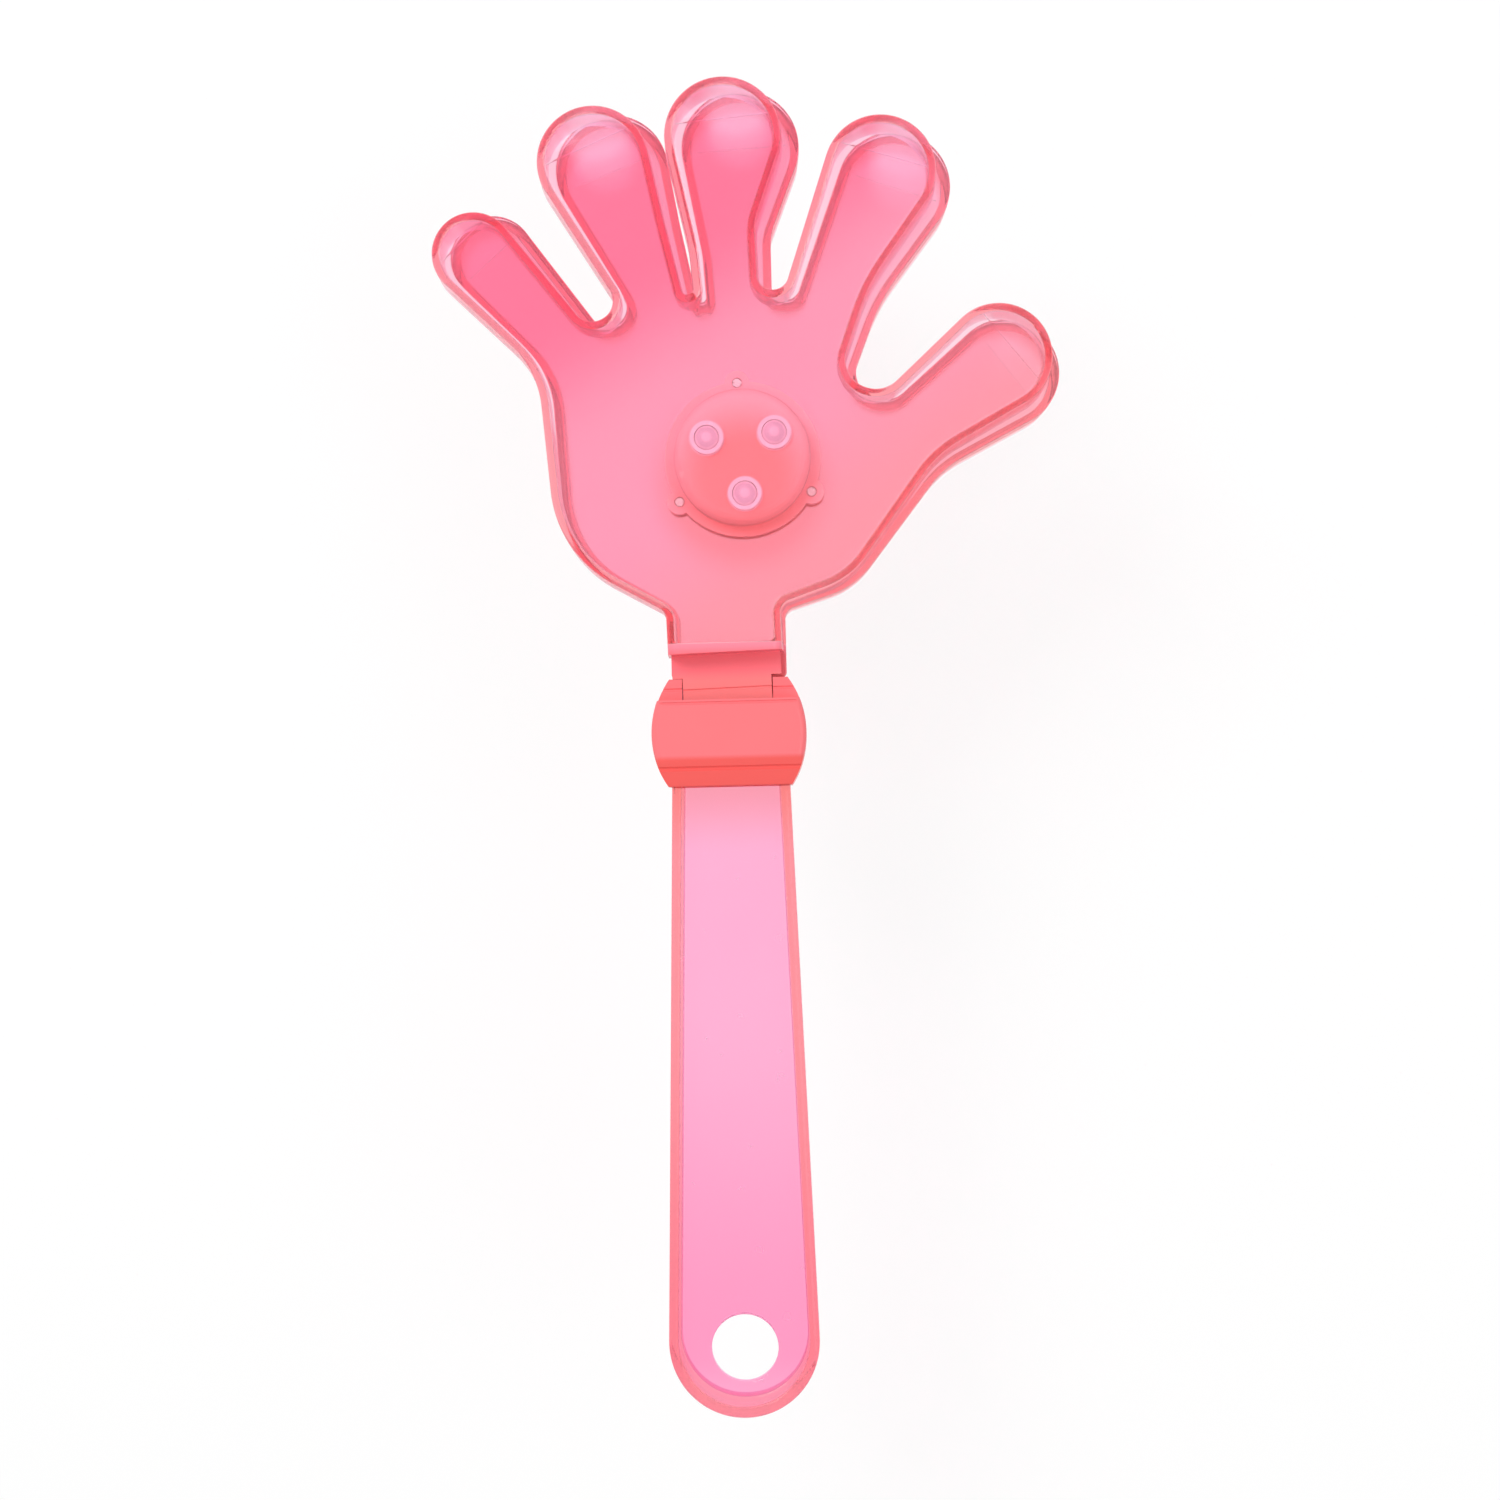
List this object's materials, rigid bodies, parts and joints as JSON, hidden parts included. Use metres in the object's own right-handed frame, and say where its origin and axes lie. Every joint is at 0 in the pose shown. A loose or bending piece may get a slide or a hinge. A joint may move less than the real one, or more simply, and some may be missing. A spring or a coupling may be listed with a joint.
{
  "type": "light-up hand clapper",
  "caption": "Hand-shaped noise maker on a flat handle: a fixed centre hand between two hinged hollow hands, with a battery light in the palm.",
  "frame": {"origin": "on the back hand's flat face, on the handle's middle line, under the middle of the palm", "axes": "+X across to the thumb side, +Y along the handle to the fingertips, +Z through the thickness to the front hand; the clapper lies on its back hand"},
  "size_m": [0.1318, 0.2801, 0.024],
  "materials": {
    "hand_pink": "gloss",
    "handle_pink": "gloss",
    "cuff_coral": "gloss",
    "module_pink": "satin",
    "lamp_clear": "gloss",
    "board_green": "satin",
    "black_resin": "satin",
    "white_plastic": "satin",
    "cell_can": "satin",
    "brass": "satin",
    "steel": "satin"
  },
  "bodies": {
    "grip": {"handle": "handle_pink", "centre_hand": "hand_pink", "cuff_front": "cuff_coral", "cuff_back": "cuff_coral", "front_hinge_pin": "steel", "back_hinge_pin": "steel", "lamp_cap": "module_pink", "battery_housing": "module_pink", "battery_door": "module_pink", "circuit_board": "board_green", "lamp_left": "lamp_clear", "lamp_right": "lamp_clear", "lamp_bottom": "lamp_clear", "flasher_chip": "black_resin", "switch_body": "black_resin", "cell_left": "cell_can", "cell_right": "cell_can", "cell_bottom": "cell_can", "contact_springs": "brass", "link_strips": "brass", "module_screws": "steel", "door_screws": "steel"},
    "front_clap": {"front_hand": "hand_pink"},
    "back_clap": {"back_hand": "hand_pink"},
    "button": {"push_button": "white_plastic", "switch_plunger": "white_plastic"}
  },
  "joints": [
    {"name": "front_swing", "type": "hinge", "parent": "grip", "child": "front_clap", "pos_m": [0, -0.056, 0.0182], "axis": [1, 0, 0], "range_deg": [0, 25]},
    {"name": "back_swing", "type": "hinge", "parent": "grip", "child": "back_clap", "pos_m": [0, -0.056, 0.0058], "axis": [-1, 0, 0], "range_deg": [0, 25]},
    {"name": "button_press", "type": "slide", "parent": "grip", "child": "button", "axis": [0, 0, 1], "range_m": [0, 0.0006], "stiffness_N_per_m": 1500}
  ]
}
